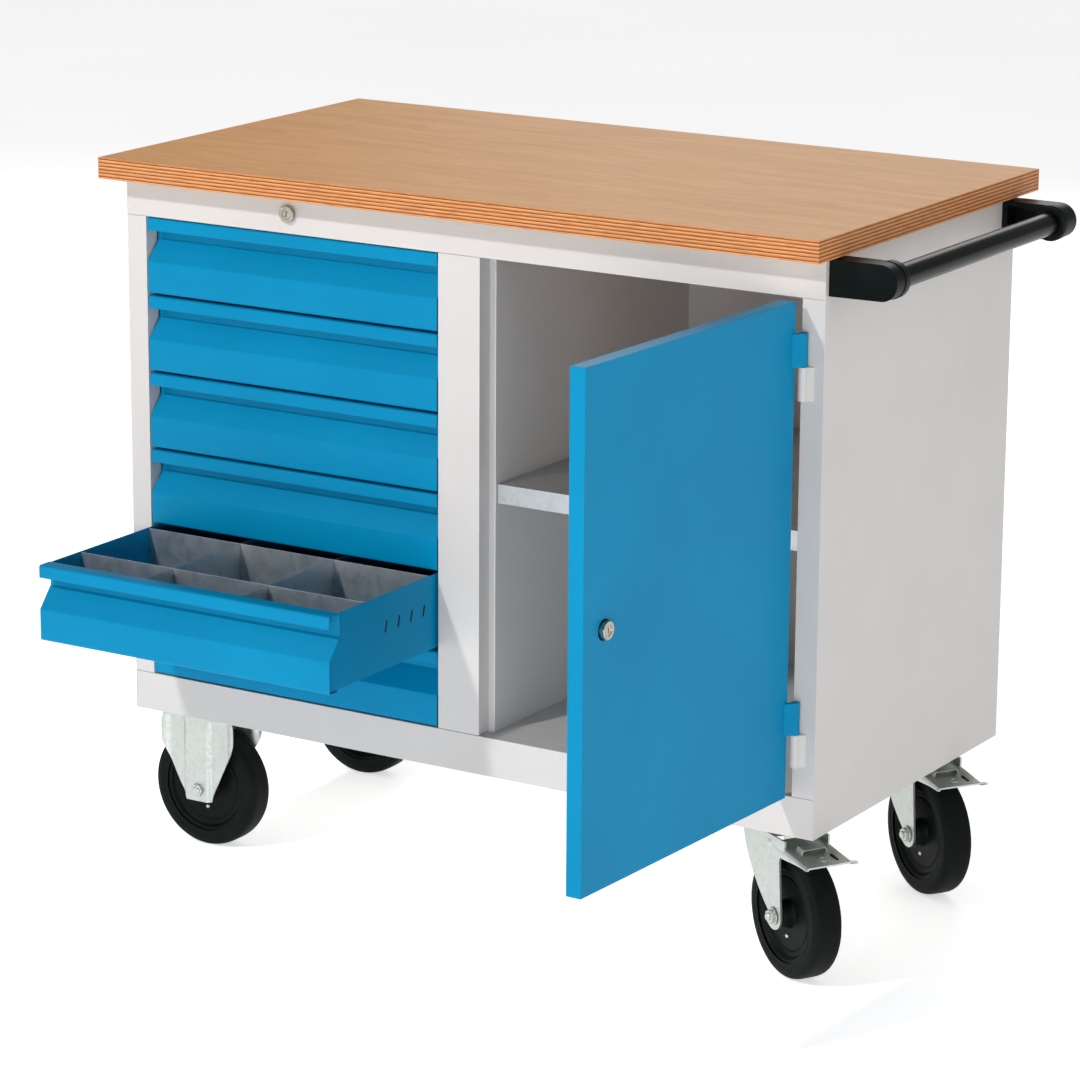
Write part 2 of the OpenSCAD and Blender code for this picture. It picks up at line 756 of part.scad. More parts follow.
module brake_pedal(k) {
    w = pedal_in;
    out = w + pedal_wall;
    color(zinc)
    at_swivel(k) translate([pedal_pivot, 0, pedal_z]) {
        rotate([0, pedal_tilt, 0]) difference() {
            union() {
                block([pedal_heel, -out, pedal_t], [pedal_toe, out, 2 * pedal_t]);
                for (s = [-1, 1]) along_y(s < 0 ? -out : w, s < 0 ? -w : out)
                    polygon([[-7, -6], [8, -8], [pedal_toe, 0], [pedal_toe, 2 * pedal_t],
                        [-7, 2 * pedal_t]]);
                // turned-up toe and cross bead
                translate([pedal_toe, -out, 0]) rotate([0, -20, 0]) cube([10, 2 * out, pedal_t]);
                block([52, -22, 2 * pedal_t], [61, 22, 8]);
            }
            translate([pedal_toe - 20, 0, 0]) cylinder(r = 5, h = 20);
        }
        rotate([90, 0, 0]) cylinder(r = pedal_pin_r, h = 2 * w + 10, center = true);
    }
}

worktop();
side_panel(-1);  // left_side_panel
side_panel(1);  // right_side_panel
back_panel();
floor_panel();
top_rail();
bottom_rail();
centre_stile();
partition_drawer_side();
partition_door_side();
shelf();
shelf_brackets();
drawer_rails();
base_channels();
handle_tube();
handle_bracket_front();
handle_bracket_rear();
frame_hinge_knuckles();
drawer_lock_body();
drawer_lock_plug();
door_panel();
door_hinge_knuckles();
door_lock_body();
door_lock_plug();
drawer_dividers_long();
drawer_dividers_cross();
worktop_screws();
handle_screws();
castor_bolts();
fixed_castor_axles();
for (i = [1:DRAWERS]) {
    drawer_front(i);
    drawer_tray(i);
}
for (k = [0, 1]) {
    fixed_castor(k);
    swivel_plate(k);
    swivel_fork(k);
    swivel_axle(k);
    brake_pedal(k);
}
for (side = ["left", "right"], k = [0, 1]) {
    wheel_tyre(side, k);
    wheel_rim(side, k);
}
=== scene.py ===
"""Looks of a mobile workbench: beech multiplex top, powder-coated cabinet with six drawers and a
cupboard, black push handle and four castors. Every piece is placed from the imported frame; sizes
written here are in millimetres unless the name says otherwise."""

import json
import math

import bmesh
import bpy
import numpy as np
from mathutils import Matrix, Vector


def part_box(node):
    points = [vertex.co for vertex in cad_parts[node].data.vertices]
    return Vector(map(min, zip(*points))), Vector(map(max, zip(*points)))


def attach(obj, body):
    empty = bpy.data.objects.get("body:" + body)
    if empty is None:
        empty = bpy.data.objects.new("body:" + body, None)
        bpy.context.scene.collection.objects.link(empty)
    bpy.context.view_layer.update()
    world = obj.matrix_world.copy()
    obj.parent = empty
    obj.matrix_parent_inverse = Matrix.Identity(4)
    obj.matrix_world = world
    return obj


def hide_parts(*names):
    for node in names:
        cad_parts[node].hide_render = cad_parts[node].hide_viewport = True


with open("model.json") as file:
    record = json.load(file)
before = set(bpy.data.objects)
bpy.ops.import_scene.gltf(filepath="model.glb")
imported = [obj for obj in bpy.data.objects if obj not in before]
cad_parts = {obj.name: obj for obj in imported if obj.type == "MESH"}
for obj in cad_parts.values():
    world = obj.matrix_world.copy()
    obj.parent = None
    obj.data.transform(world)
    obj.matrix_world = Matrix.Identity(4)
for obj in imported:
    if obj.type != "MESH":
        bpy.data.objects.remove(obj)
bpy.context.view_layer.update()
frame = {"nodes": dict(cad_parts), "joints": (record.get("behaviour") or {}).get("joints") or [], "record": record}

MM = 0.001
CORNERS = ("front", "rear")
SIDES = ((-1, "right"), (1, "left"))
DRAWERS = range(1, 7)
WHEEL_RADIUS = 90.0
JOINTS = {joint["name"]: joint for joint in frame["joints"]}
SLOTS = {part["node"]: part["material_slot"] for part in frame["record"]["subparts"]}
BODIES = {n: body for body, nodes in frame["record"]["behaviour"]["bodies"].items() for n in nodes}


# ---------------------------------------------------------------- camera
def set_camera():
    """A long lens that looks down at the bench from the front right."""
    place_m = (2.958, -4.698, 2.009)
    yaw, pitch, roll = (math.radians(angle) for angle in (31.685, 14.807, 0.3555))
    data = bpy.data.cameras.new("camera")
    data.sensor_width = 36.0
    data.lens = 138.9
    data.clip_end = 100.0
    camera = bpy.data.objects.new("camera", data)
    bpy.context.scene.collection.objects.link(camera)
    turn = Matrix.Rotation(yaw, 4, "Z") @ Matrix.Rotation(math.pi / 2 - pitch, 4, "X")
    camera.matrix_world = Matrix.Translation(place_m) @ turn @ Matrix.Rotation(roll, 4, "Z")
    bpy.context.scene.camera = camera


# ---------------------------------------------------------------- materials
def linear(hex_colour):
    """The linear RGBA of an sRGB hex colour."""
    s = np.array([int(hex_colour[i : i + 2], 16) for i in (1, 3, 5)]) / 255
    rgb = np.where(s <= 0.04045, s / 12.92, ((s + 0.055) / 1.055) ** 2.4)
    return (*rgb.tolist(), 1.0)


def add(tree, kind, inputs=None, **settings):
    """Adds a node; an input is a plain value or the output socket that feeds it."""
    made = tree.nodes.new(kind)
    for key, value in settings.items():
        setattr(made, key, value)
    for key, value in (inputs or {}).items():
        if isinstance(value, bpy.types.NodeSocket):
            tree.links.new(value, made.inputs[key])
        else:
            made.inputs[key].default_value = value
    return made


def ramp(tree, factor, stops):
    """A colour ramp through (position, hex colour) stops."""
    made = add(tree, "ShaderNodeValToRGB", {"Fac": factor})
    elements = made.color_ramp.elements
    while len(elements) < len(stops):
        elements.new(0.5)
    for element, (place, colour) in zip(elements, stops):
        element.position = place
        element.color = linear(colour)
    return made.outputs["Color"]


def levels(tree, value, low, high):
    """Maps 0..1 to low..high."""
    made = add(tree, "ShaderNodeMapRange", {"Value": value, "To Min": low, "To Max": high})
    return made.outputs["Result"]


def noise(tree, vector, grain_mm, detail=2.0, roughness=0.5):
    """Noise whose cells are about grain_mm across."""
    inputs = {"Vector": vector, "Scale": 1 / (grain_mm * MM), "Detail": detail,
              "Roughness": roughness}
    return add(tree, "ShaderNodeTexNoise", inputs).outputs["Fac"]


def stretched(tree, vector, x, y, z):
    """Object coordinates scaled along each axis, so that a round grain becomes a long one."""
    return add(tree, "ShaderNodeMapping", {"Vector": vector, "Scale": (x, y, z)}).outputs["Vector"]


def blend_colours(tree, factor, a, b, mode="MIX"):
    """Mixes two colours, each a plain value or an output socket."""
    made = add(tree, "ShaderNodeMix", data_type="RGBA", blend_type=mode)
    for socket, value in ((made.inputs[0], factor), (made.inputs[6], a), (made.inputs[7], b)):
        if isinstance(value, bpy.types.NodeSocket):
            tree.links.new(value, socket)
        else:
            socket.default_value = value
    return made.outputs[2]


def new_material(name, **values):
    """A Principled material; values are its plain socket values."""
    made = bpy.data.materials.new(name)
    made.use_nodes = True
    tree = made.node_tree
    shader = tree.nodes["Principled BSDF"]
    for key, value in values.items():
        shader.inputs[key.replace("_", " ")].default_value = value
    place = add(tree, "ShaderNodeTexCoord").outputs["Object"]
    return made, tree, shader, place


def bump(tree, shader, height, depth_mm, strength=0.5):
    """Bumps the shader's surface by up to depth_mm where height goes from 0 to 1."""
    made = add(tree, "ShaderNodeBump",
               {"Height": height, "Distance": depth_mm * MM, "Strength": strength})
    tree.links.new(made.outputs["Normal"], shader.inputs["Normal"])


def powder_coat(name, colour, pale, gloss):
    """Polyester powder coat on sheet steel, baked: satin, with a fine orange peel."""
    peel_mm = 1.8
    made, tree, shader, place = new_material(name, IOR=1.5, Specular_IOR_Level=gloss)
    cloud = noise(tree, place, 160, 3)
    peel = noise(tree, place, peel_mm, 2)
    tint = ramp(tree, cloud, [(0.25, colour), (0.75, pale)])
    tree.links.new(tint, shader.inputs["Base Color"])
    tree.links.new(levels(tree, peel, 0.34, 0.46), shader.inputs["Roughness"])
    bump(tree, shader, peel, 0.05)
    return made


def beech_multiplex():
    """Oiled beech plywood: a rotary-cut face with long pale figure and short dark pores along X,
    and on the edges thin plies, dark where the grain is cut across."""
    ply_pair_mm = 4.9
    made, tree, shader, place = new_material("beech_multiplex", IOR=1.48, Specular_IOR_Level=0.22)
    face = add(tree, "ShaderNodeNewGeometry").outputs["Normal"]
    upright = add(tree, "ShaderNodeSeparateXYZ", {"Vector": face}).outputs["Z"]
    flat = add(tree, "ShaderNodeMath", {0: upright}, operation="ABSOLUTE").outputs[0]
    flat = add(tree, "ShaderNodeMath", {0: flat, 1: 0.7}, operation="GREATER_THAN").outputs[0]
    # face veneer: broad figure 28 mm wide, streaks 2.6 mm wide and pores 1.2 mm wide
    wander = noise(tree, stretched(tree, place, 1, 2.2, 1), 260, 3)
    bent = add(tree, "ShaderNodeVectorMath", {0: place}, operation="ADD")
    drift = add(tree, "ShaderNodeCombineXYZ", {"Y": levels(tree, wander, -0.05, 0.05)})
    tree.links.new(drift.outputs["Vector"], bent.inputs[1])
    bent = bent.outputs["Vector"]
    figure = noise(tree, stretched(tree, bent, 0.12, 1, 1), 28, 5, 0.65)
    streak = noise(tree, stretched(tree, bent, 0.05, 1, 1), 2.6, 3, 0.65)
    pores = noise(tree, stretched(tree, bent, 0.09, 1, 1), 1.2, 1)
    broad = ramp(tree, figure, [(0.25, "#D1985F"), (0.5, "#DCA468"), (0.75, "#E6B073")])
    fine = ramp(tree, streak, [(0.25, "#E9D2BC"), (0.5, "#FFFFFF"), (0.8, "#FFF6EA")])
    dots = ramp(tree, pores, [(0.2, "#B99A7C"), (0.36, "#FFFFFF")])
    top = blend_colours(tree, 0.8, broad, fine, "MULTIPLY")
    top = blend_colours(tree, 0.55, top, dots, "MULTIPLY")
    # edge: pale long grain and dark end grain in turn
    height = add(tree, "ShaderNodeSeparateXYZ", {"Vector": place}).outputs["Z"]
    waver = noise(tree, stretched(tree, place, 0.1, 0.1, 1), 12, 2)
    height = add(tree, "ShaderNodeMath", {0: height, 1: levels(tree, waver, -0.0005, 0.0005)},
                 operation="ADD").outputs[0]
    ply = add(tree, "ShaderNodeMath", {0: height, 1: 1 / (ply_pair_mm * MM)},
              operation="MULTIPLY").outputs[0]
    ply = add(tree, "ShaderNodeMath", {0: ply}, operation="FRACT").outputs[0]
    layers = ramp(tree, ply, [(0.0, "#C6844E"), (0.5, "#DDA16A"), (0.58, "#7E4425"),
                              (0.74, "#71391F"), (0.86, "#BC7846")])
    speck = noise(tree, stretched(tree, place, 0.07, 0.07, 1), 1.6, 2)
    speck = ramp(tree, speck, [(0.3, "#C9A58A"), (0.55, "#FFFFFF")])
    edge = blend_colours(tree, 0.5, layers, speck, "MULTIPLY")
    colour = blend_colours(tree, flat, edge, top)
    tree.links.new(colour, shader.inputs["Base Color"])
    tree.links.new(levels(tree, streak, 0.46, 0.6), shader.inputs["Roughness"])
    bump(tree, shader, blend_colours(tree, flat, ply, streak), 0.08)
    return made


def plated_steel(name, dark, bright, spangle_mm, rough):
    """Zinc on pressed steel: metal with soft crystal patches and faint rolling streaks."""
    made, tree, shader, place = new_material(name, Metallic=1.0)
    cells = add(tree, "ShaderNodeTexVoronoi",
                {"Vector": place, "Scale": 1 / (spangle_mm * MM)}).outputs["Color"]
    cells = add(tree, "ShaderNodeSeparateColor", {"Color": cells}).outputs["Red"]
    cloud = noise(tree, place, spangle_mm * 2.5, 4, 0.6)
    mixed = add(tree, "ShaderNodeMath", {0: cells, 1: cloud}, operation="ADD").outputs[0]
    mixed = levels(tree, mixed, 0.0, 0.5)
    tree.links.new(ramp(tree, mixed, [(0.2, dark), (0.8, bright)]), shader.inputs["Base Color"])
    tree.links.new(levels(tree, cloud, rough, rough + 0.2), shader.inputs["Roughness"])
    bump(tree, shader, noise(tree, place, 1.5, 2), 0.02)
    return made


def nickel_plate():
    """Bright nickel on a die-cast lock: warm grey metal with fine turned rings."""
    made, tree, shader, place = new_material("nickel_plate", Metallic=1.0)
    smear = noise(tree, place, 5, 3)
    tree.links.new(ramp(tree, smear, [(0.3, "#98958B"), (0.7, "#BDB9AE")]),
                   shader.inputs["Base Color"])
    tree.links.new(levels(tree, smear, 0.18, 0.34), shader.inputs["Roughness"])
    return made


def black_polymer(name, colour, pale, grain_mm, rough, depth_mm, gloss):
    """Black plastic, lacquer or rubber: nearly black, with a fine moulded grain."""
    made, tree, shader, place = new_material(name, IOR=1.45, Specular_IOR_Level=gloss)
    cloud = noise(tree, place, 40, 3)
    grain = noise(tree, place, grain_mm, 2)
    tree.links.new(ramp(tree, cloud, [(0.3, colour), (0.7, pale)]), shader.inputs["Base Color"])
    tree.links.new(levels(tree, grain, rough - 0.06, rough + 0.08), shader.inputs["Roughness"])
    bump(tree, shader, grain, depth_mm, 0.6)
    return made


MATERIALS = {
    "beech_multiplex": beech_multiplex(),
    "grey_paint": powder_coat("grey_powder_coat", "#C5C2C0", "#CAC7C5", gloss=0.35),
    "blue_paint": powder_coat("blue_powder_coat", "#007CA8", "#0083B0", gloss=0.08),
    "galvanised_sheet": plated_steel("galvanised_sheet", "#BDC2C5", "#D3D7D8", spangle_mm=8,
                                     rough=0.4),
    "zinc_plate": plated_steel("zinc_plated_pressing", "#BCC1BC", "#D0D4D0", spangle_mm=5,
                               rough=0.32),
    "nickel": nickel_plate(),
    "black_plastic": black_polymer("moulded_black_plastic", "#050A08", "#0A100E", grain_mm=1.2,
                                   rough=0.4, depth_mm=0.04, gloss=0.14),
    "black_tube": black_polymer("black_lacquered_tube", "#040907", "#080D0B", grain_mm=2.0,
                                rough=0.24, depth_mm=0.01, gloss=0.14),
    "black_rubber": black_polymer("solid_rubber_tyre", "#060C09", "#0B120F", grain_mm=1.4,
                                  rough=0.6, depth_mm=0.05, gloss=0.12),
    "black_rim": black_polymer("black_plastic_rim", "#040907", "#080E0B", grain_mm=1.6,
                               rough=0.5, depth_mm=0.03, gloss=0.14),
}


# ---------------------------------------------------------------- making pieces
def finish_piece(name, mesh, body, slot, nodes=()):
    """Links a mesh as a piece that rides on a body and, if nodes are named, stands for them."""
    piece = bpy.data.objects.new(name, mesh)
    bpy.context.scene.collection.objects.link(piece)
    mesh.materials.clear()
    mesh.materials.append(MATERIALS[slot])
    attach(piece, body)
    if nodes:
        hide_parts(*nodes)
    return piece


def smooth(mesh, angle=35.0):
    """Smooth shading, sharp where faces meet at more than the angle."""
    mesh.shade_smooth()
    mesh.set_sharp_from_angle(angle=math.radians(angle))


def bevel(piece, width_mm, segments=2, angle=35.0):
    """Rounds the edges that are sharper than the angle."""
    made = piece.modifiers.new("edges", "BEVEL")
    made.width = width_mm * MM
    made.segments = segments
    made.limit_method = "ANGLE"
    made.angle_limit = math.radians(angle)
    made.harden_normals = True


def thicken(piece, thickness_mm):
    """Gives a surface the thickness of its sheet, half to each side."""
    made = piece.modifiers.new("sheet", "SOLIDIFY")
    made.thickness = thickness_mm * MM
    made.offset = 0.0
    made.use_even_offset = True


def softened(node, width_mm, segments=2):
    """A CAD node's own shape, merged and with its flat faces joined, and its edges rounded."""
    mesh = bpy.data.meshes.new(f"{node}_soft")
    shape = bmesh.new()
    shape.from_mesh(frame["nodes"][node].data)
    bmesh.ops.remove_doubles(shape, verts=shape.verts, dist=2e-6)
    bmesh.ops.dissolve_limit(shape, angle_limit=math.radians(1.0), verts=shape.verts,
                             edges=shape.edges, delimit={"NORMAL"})
    shape.to_mesh(mesh)
    shape.free()
    smooth(mesh)
    piece = finish_piece(f"{node}_finished", mesh, BODIES[node], SLOTS[node], [node])
    bevel(piece, width_mm, segments)
    return piece


def grid(name, points, body, slot, nodes=(), wrap=(False, False), place=None, angle=35.0):
    """A surface through a grid of points (rows, columns, 3) in millimetres, placed by a 4x4 matrix
    in metres. wrap joins the last row or column to the first; a row drawn to one point closes."""
    rows, columns = points.shape[:2]
    corner = np.arange(rows * columns).reshape(rows, columns)
    if wrap[0]:
        corner = np.vstack([corner, corner[:1]])
    if wrap[1]:
        corner = np.hstack([corner, corner[:, :1]])
    quads = np.stack([corner[:-1, :-1], corner[1:, :-1], corner[1:, 1:], corner[:-1, 1:]], -1)
    flat = points.reshape(-1, 3) * MM
    if place is not None:
        turn = np.array(place)
        flat = flat @ turn[:3, :3].T + turn[:3, 3]
    mesh = bpy.data.meshes.new(name)
    mesh.from_pydata(flat, [], quads.reshape(-1, 4))
    shape = bmesh.new()
    shape.from_mesh(mesh)
    bmesh.ops.remove_doubles(shape, verts=shape.verts, dist=1e-6)
    bmesh.ops.recalc_face_normals(shape, faces=shape.faces)
    shape.to_mesh(mesh)
    shape.free()
    smooth(mesh, angle)
    return finish_piece(name, mesh, body, slot, nodes)


def turned(name, profile, body, slot, nodes=(), place=None, around=96, angle=35.0):
    """A profile of (radius, height) points turned about the local Z axis."""
    profile = np.asarray(profile, float)
    turn = np.linspace(0, 2 * np.pi, around, endpoint=False)
    r, h = profile[:, :1], profile[:, 1:]
    points = np.stack([r * np.cos(turn), r * np.sin(turn), h + 0 * turn], -1)
    return grid(name, points, body, slot, nodes, (False, True), place, angle)


def pillow(name, outline, low, high, edge, body, slot, nodes=(), place=None, steps=4):
    """A closed convex outline (n, 2) in XY, raised from low to high in Z, its edges rounded with
    radius edge: each ring is the outline drawn towards its middle by the rounding."""
    middle = outline.mean(0)
    reach = np.linalg.norm(outline - middle, axis=1).min()
    bend = np.linspace(0, np.pi / 2, steps)
    inset = np.concatenate([[reach], edge * (1 - np.sin(bend)), edge * (1 - np.cos(bend)),
                            [reach]])
    level = np.concatenate([[low], low + edge * (1 - np.cos(bend)),
                            high - edge * (1 - np.sin(bend)), [high]])
    share = 1 - inset / reach
    flat = middle + share[:, None, None] * (outline - middle)
    level = np.broadcast_to(level[:, None, None], flat.shape[:2] + (1,))
    points = np.concatenate([flat, level], -1)
    return grid(name, points, body, slot, nodes, (False, True), place)


def filleted(points, radius, steps=5):
    """An open line of 2-D points with every inner corner replaced by an arc of the radius."""
    points = np.asarray(points, float)
    line = [points[:1]]
    for before, corner, after in zip(points[:-2], points[1:-1], points[2:]):
        a = (before - corner) / np.linalg.norm(before - corner)
        b = (after - corner) / np.linalg.norm(after - corner)
        half = math.acos(float(np.clip(a @ b, -1, 1))) / 2
        centre = corner + (a + b) / np.linalg.norm(a + b) * radius / math.sin(half)
        start = corner + a * radius / math.tan(half) - centre
        end = corner + b * radius / math.tan(half) - centre
        share = np.linspace(0, 1, steps)[:, None]
        arc = start * (1 - share) + end * share
        line.append(centre + arc / np.linalg.norm(arc, axis=1, keepdims=True) * radius)
    line.append(points[-1:])
    return np.vstack(line)


def rounded_box(width, depth, radius, steps=6):
    """A closed rectangle outline about the origin with round corners."""
    turn = np.linspace(0, np.pi / 2, steps)
    arcs = [np.stack([sx * (width / 2 - radius) + radius * np.cos(turn + q * np.pi / 2),
                      sy * (depth / 2 - radius) + radius * np.sin(turn + q * np.pi / 2)], -1)
            for q, (sx, sy) in enumerate(((1, 1), (-1, 1), (-1, -1), (1, -1)))]
    return np.vstack(arcs)


def hexagon(radius, per_side=4):
    """A closed hexagon outline about the origin, with points along each side."""
    corners = np.array([[math.cos(a), math.sin(a)] for a in np.arange(6) * np.pi / 3]) * radius
    share = np.arange(per_side)[:, None] / per_side
    after = np.roll(corners, -1, 0)
    return np.vstack([a * (1 - share) + b * share for a, b in zip(corners, after)])


def step(x, low, high):
    """0 below low, 1 above high, smooth between."""
    t = np.clip((x - low) / (high - low), 0, 1)
    return t * t * (3 - 2 * t)


def frame_at(origin, x_axis, z_axis):
    """The matrix that puts a local frame's origin, X and Z axes in the bench's frame."""
    x, z = Vector(x_axis).normalized(), Vector(z_axis).normalized()
    turn = Matrix((x, z.cross(x), z)).transposed().to_4x4()
    return Matrix.Translation(Vector(origin)) @ turn


# ---------------------------------------------------------------- cabinet, drawers and door
def cabinet():
    """The fixed sheet metal and the worktop: each node's own shape with its edges rounded."""
    softened("worktop", 1.2, 3)
    for node in ("left_side_panel", "right_side_panel", "top_rail", "bottom_rail", "centre_stile"):
        softened(node, 0.7, 3)
    for node in ("back_panel", "floor_panel", "partition_drawer_side", "partition_door_side",
                 "shelf", "base_channels", "shelf_brackets", "drawer_rails"):
        softened(node, 0.4)
    softened("frame_hinge_knuckles", 0.8)
    softened("door_hinge_knuckles", 0.8)
    softened("door_panel", 2.2, 4)


def drawer_front(i):
    """The folded front: a line down the lip, across its top, down the recess, out along the bevel,
    down the band and in along the bottom flange, with 2.4 mm bends, drawn along X."""
    skin, bend = 0.6, 2.4
    lip, band, bevel_top, flange = 18, 45, 75, 20
    low, high = (np.array(c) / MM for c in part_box(f"drawer_front_{i}"))
    tall, deep = high[2] - low[2], high[1] - low[1]
    line = filleted([(skin, tall - lip), (skin, tall - skin), (deep - skin, tall - skin),
                     (deep - skin, bevel_top), (skin, band), (skin, skin), (flange, skin)], bend)
    along = np.linspace(low[0], high[0], 9)
    points = np.stack(np.broadcast_arrays(along[None, :], low[1] + line[:, :1],
                                          low[2] + line[:, 1:]), -1)
    piece = grid(f"drawer_{i}_folded_front", points, f"drawer_{i}", "blue_paint",
                 [f"drawer_front_{i}"], angle=60)
    thicken(piece, 2 * skin)
    bevel(piece, 0.25, 1, 60)


def slot_painted_shades(i):
    """Four slanted slots pressed into the middle of both cheeks of a drawer, each drawn as a thin dark patch of
    black plastic that stands for the shade inside the slot: painted shade.
    """
    count, first, pitch, below_top = 4, 138, 31, 46
    slope = 0.3
    shape = rounded_box(17, 3.4, 1.6)
    low, high = (np.array(c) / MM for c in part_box(f"drawer_tray_{i}"))
    for side, x, out in (("left", low[0], -1), ("right", high[0], 1)):
        for k in range(count):
            middle = Vector((x, low[1] + first + pitch * k, high[2] - below_top)) * MM
            place = frame_at(middle, (0, slope, 1), (out, 0, 0))
            # painted shade: a dark black-plastic patch laid where the pressed slot's opening only holds shade
            pillow(f"drawer_{i}_slot_{side}_{k + 1}", shape, -0.3, 0.25, 0.1, f"drawer_{i}",
                   "black_plastic", (), place)


def drawers():
    """Six folded fronts and trays, and the fifth drawer's dividers."""
    for i in DRAWERS:
        drawer_front(i)
        softened(f"drawer_tray_{i}", 0.4)
        slot_painted_shades(i)
    softened("drawer_dividers_long", 0.25)
    softened("drawer_dividers_cross", 0.25)


# ---------------------------------------------------------------- locks
def locks():
    """The two cylinder locks, each a body with a turning plug."""
    for name in ("drawer", "door"):
        softened(f"{name}_lock_body", 0.8)
        softened(f"{name}_lock_plug", 0.3)


# ---------------------------------------------------------------- handle
def handle():
    """The push handle: a lacquered tube between two moulded brackets, with a collar turned from a
    quarter-round profile where it enters each of them."""
    softened("handle_bracket_front", 2.5, 4)
    softened("handle_bracket_rear", 2.5, 4)
    low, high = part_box("handle_tube")
    middle, radius = (low + high) / 2, (high.x - low.x) / 2 / MM
    half = (high.y - low.y) / 2 / MM
    place = frame_at(middle, (1, 0, 0), (0, 1, 0))
    wall = 2
    tube = [(radius - wall, -half), (radius, -half), (radius, half), (radius - wall, half),
            (radius - wall, -half)]
    turned("handle_tube_lacquered", tube, "cabinet", "black_tube", ["handle_tube"], place)
    collar, edge, sunk, bore = 25, 3, 8, radius + 0.2
    bend = np.linspace(0, np.pi / 2, 7)
    round_edge = np.stack([collar - edge + edge * np.cos(bend), edge + edge * np.sin(bend)], -1)
    profile = np.vstack([[(bore, -sunk), (collar, -sunk)], round_edge,
                         [(radius + 0.6, 6), (bore, 5.2), (bore, -sunk)]])
    for end, face in (("front", -1), ("rear", 1)):
        front_y, rear_y = (corner.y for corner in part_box(f"handle_bracket_{end}"))
        mouth = rear_y if face < 0 else front_y
        place = frame_at((middle.x, mouth, middle.z), (1, 0, 0), (0, -face, 0))
        turned(f"handle_collar_{end}", profile, "cabinet", "black_plastic", (), place)


# ---------------------------------------------------------------- castors
def bolt_head(name, place, body):
    """A hexagon nut on a washer with a rounded bolt end."""
    radius, tall = 10.0, 6.5
    turned(f"{name}_washer", [(0, 0), (radius + 2, 0), (radius + 2.4, 0.4), (radius + 2, 1.6),
                              (0, 1.6)], body, "zinc_plate", (), place, 48)
    pillow(f"{name}_nut", hexagon(radius), 1.5, tall, 0.9, body, "zinc_plate", (), place)
    turned(f"{name}_end", [(0, tall - 1), (5.6, tall - 1), (5.6, tall + 2), (4.6, tall + 3),
                           (0, tall + 3.3)], body, "zinc_plate", (), place, 32)


def wheel(side, corner, body):
    """Tyre: a superellipse section (exponent 1 / 0.42) from the rim out to the tread, less two
    bell-shaped grooves 0.7 mm deep in each flank. Rim: a disc whose half width steps down from the
    hub to the web and up again to the tyre, less one groove in the web."""
    inner, half, power = 67.0, 22.0, 0.42
    hub, hub_half, web_drop, seat_rise = 6.2, 28, 15, 6.5
    joint = JOINTS[f"{side}_wheel_{corner}_spin"]
    place = frame_at(joint["pos_m"], (0, 0, 1), Vector(joint["axis"]))
    bend = np.linspace(-np.pi / 2, np.pi / 2, 61)
    r = inner + (WHEEL_RADIUS - inner) * np.abs(np.cos(bend)) ** power
    h = half * np.sign(bend) * np.abs(np.sin(bend)) ** power
    for ring in (73.0, 84.0):
        h = h - np.sign(h) * 0.7 * np.exp(-((r - ring) ** 2))
    turned(f"{side}_tyre_{corner}_solid", np.stack([r, h], -1), body, "black_rubber",
           [f"{side}_tyre_{corner}"], place, 128)
    r = np.linspace(hub, inner + 0.5, 64)
    h = hub_half - web_drop * step(r, 15, 21) + seat_rise * step(r, 58, 64)
    h = h - 1.2 * np.exp(-(((r - 52) / 1.5) ** 2))
    flank = np.stack([r, h], -1)
    profile = np.vstack([flank, flank[::-1] * (1, -1), flank[:1]])
    turned(f"{side}_rim_{corner}_disc", profile, body, "black_rim",
           [f"{side}_rim_{corner}"], place, 96)
    for face, label, over in ((-1, "in", math.pi), (1, "out", 0.0)):
        at = place @ Matrix.Translation((-0.032, 0, face * 0.0132))
        at = at @ Matrix.Rotation(over, 4, "X")
        turned(f"{side}_rim_{corner}_rivet_{label}",
               [(0, -1), (3.2, -1), (3.2, 0.6), (2.2, 1.8), (0, 2.2)], body, "zinc_plate", (),
               at, 24)


def pressed_leg(name, z, rear, front, bulge, y, out, body, place):
    """A pressed fork leg: at each height z the points run evenly from the rear to the front edge,
    and the sheet stands out from y by bulge(x, z)."""
    across = np.linspace(0, 1, 41)
    x = rear[:, None] * (1 - across) + front[:, None] * across
    height = np.broadcast_to(z[:, None], x.shape)
    points = np.stack([x, y + out * bulge(x, height), height], -1)
    piece = grid(name, points, body, "zinc_plate", place=place)
    thicken(piece, 3.0)
    bevel(piece, 0.8, 2, 60)


def fixed_castor(corner):
    """A plate with two pressed legs. A leg is 42 mm wide at its flat foot; its rear edge sweeps out
    by a power of the height and its front edge by two smooth steps. The sheet bulges 5.5 mm in a
    band down the middle, and 6 mm more towards both edges and at the plate."""
    foot_z, plate_z, half_foot, leg_out, bolt_out = 72, 210, 21, 30.5, 35.5
    joint = JOINTS[f"left_wheel_{corner}_spin"]
    x_hub, y_hub, _ = joint["pos_m"]
    place = Matrix.Translation((x_hub, y_hub, 0))
    node = f"fixed_castor_{corner}"
    pillow(f"{node}_plate", rounded_box(138, 112, 8), plate_z, plate_z + 4, 1.0, "cabinet",
           "zinc_plate", [node], place)
    z = np.linspace(foot_z, plate_z, 60)
    rear = -half_foot - 44 * np.clip((z - 74) / 84, 0, 1) ** 0.8 + 5 * step(z, 182, plate_z)
    front = (half_foot + 20 * step(z, 70, 128) + 22 * step(z, 112, 172)
             - 3 * step(z, 190, plate_z))

    def bulge(x, height):
        band = 5.5 * (step(x, -27, -21) - step(x, 15, 21))
        return band + 6 * step(np.abs(x), 44, 62) ** 2 + 6 * step(height, 196, plate_z)

    for side, label in ((-1, "outer"), (1, "inner")):
        pressed_leg(f"{node}_leg_{label}", z, rear, front, bulge, side * leg_out, side, "cabinet",
                    place)
        middle = (x_hub, y_hub + side * bolt_out * MM, WHEEL_RADIUS * MM)
        bolt_head(f"{node}_bolt_{label}", frame_at(middle, (1, 0, 0), (0, side, 0)), "cabinet")


